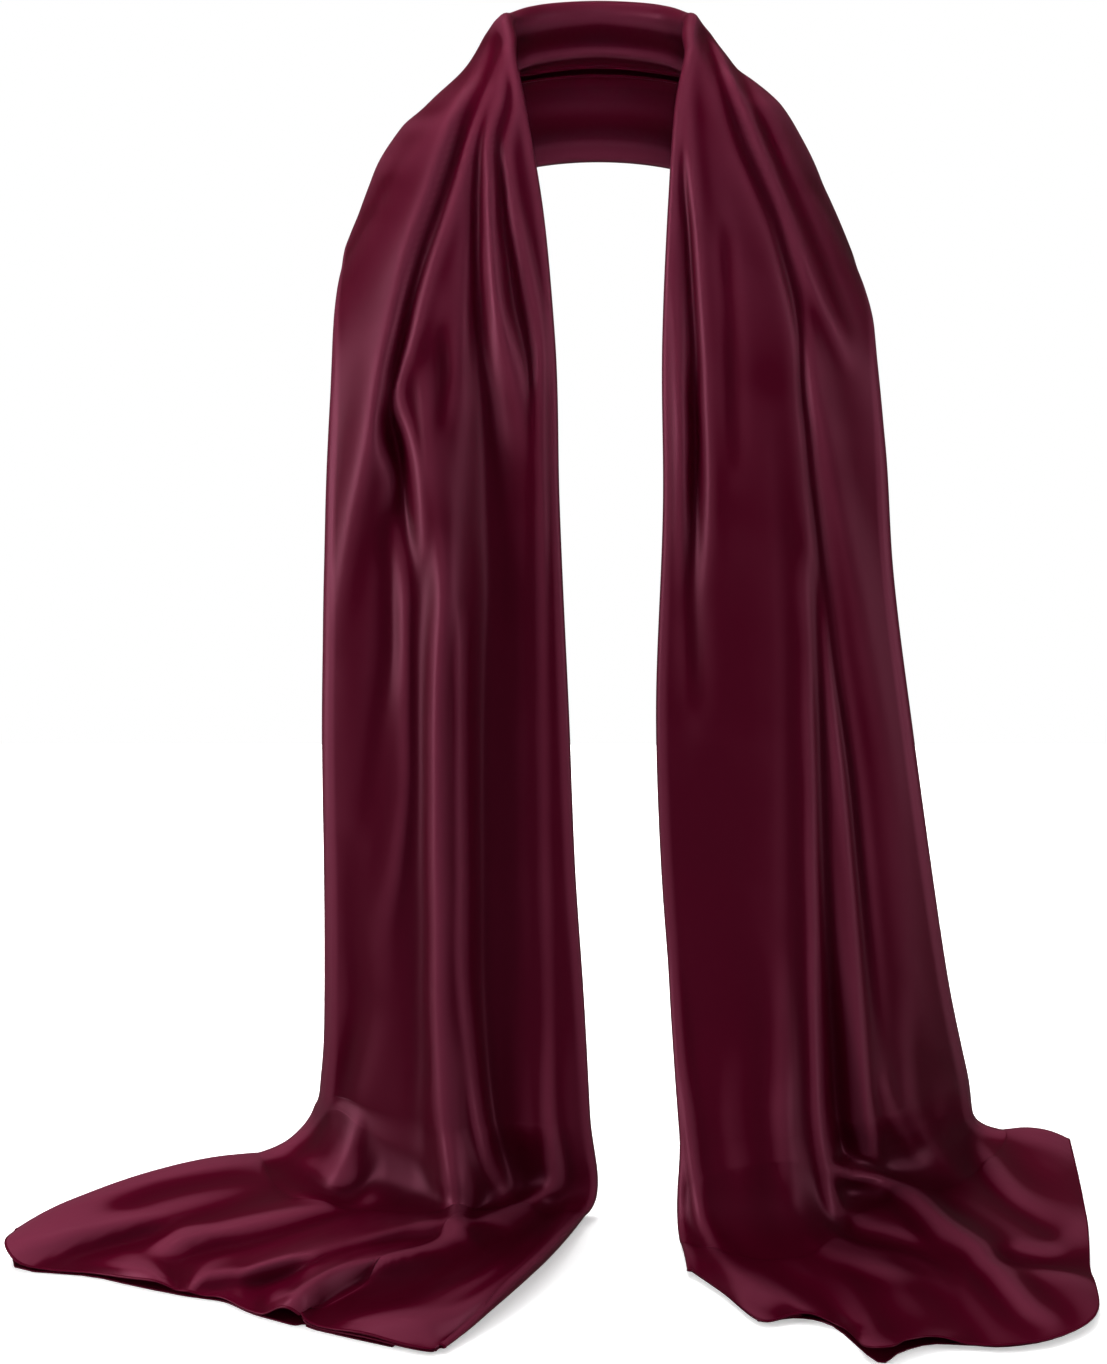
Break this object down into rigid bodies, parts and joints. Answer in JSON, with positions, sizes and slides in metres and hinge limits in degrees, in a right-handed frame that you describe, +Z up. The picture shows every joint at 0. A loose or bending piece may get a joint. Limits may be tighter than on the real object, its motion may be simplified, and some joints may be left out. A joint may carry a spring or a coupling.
{
  "type": "hijab scarf",
  "caption": "Long satin hijab scarf worn open: it lies over the neck and shoulders, hangs in lengthwise folds and ends spread out on the floor.",
  "frame": {"origin": "middle of the neck opening, where the wearer's neck and shoulders hold the scarf", "axes": "+Z up along the neck, +X to the viewer's right, -Y the way the wearer faces"},
  "size_m": [0.6859, 0.4007, 0.743],
  "materials": {
    "satin_neck": "soft satin",
    "satin_fall_left": "soft satin",
    "satin_fall_right": "soft satin",
    "satin_end_left": "soft satin",
    "satin_end_right": "soft satin"
  },
  "bodies": {
    "root": {"neck_band": "satin_neck", "fall_left": "satin_fall_left", "fall_right": "satin_fall_right", "floor_end_left": "satin_end_left", "floor_end_right": "satin_end_right"}
  },
  "joints": []
}
